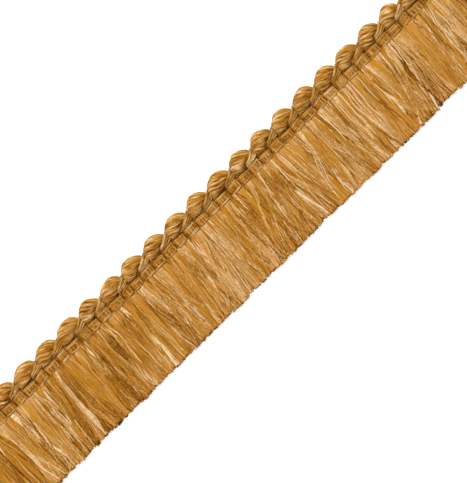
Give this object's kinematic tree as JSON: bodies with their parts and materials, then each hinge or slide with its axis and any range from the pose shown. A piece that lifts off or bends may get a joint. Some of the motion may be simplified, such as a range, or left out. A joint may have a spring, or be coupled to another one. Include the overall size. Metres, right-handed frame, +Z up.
{
  "type": "brush fringe",
  "caption": "Straight cut length of brush fringe trimming: a beaded, twisted edge cord looped to a narrow woven heading, with a thick cut skirt of fine yarns.",
  "frame": {"origin": "middle of the trim's length and width, on the surface it lies on", "axes": "+X along the trim, +Y across it to the corded edge, +Z up out of its face"},
  "size_m": [0.23, 0.0374, 0.0057],
  "materials": {
    "cord_yarn": "soft twisted cord of fine yarns in gold, amber and cream, with a low sheen",
    "heading_yarn": "woven tape of tan weft bundles with light cream warp threads, matt",
    "skirt_yarn": "cut fringe of fine yarns in gold, tan and cream, with a low sheen"
  },
  "bodies": {
    "root": {"edge_cord": "cord_yarn", "heading_band": "heading_yarn", "brush_skirt": "skirt_yarn"}
  },
  "joints": []
}
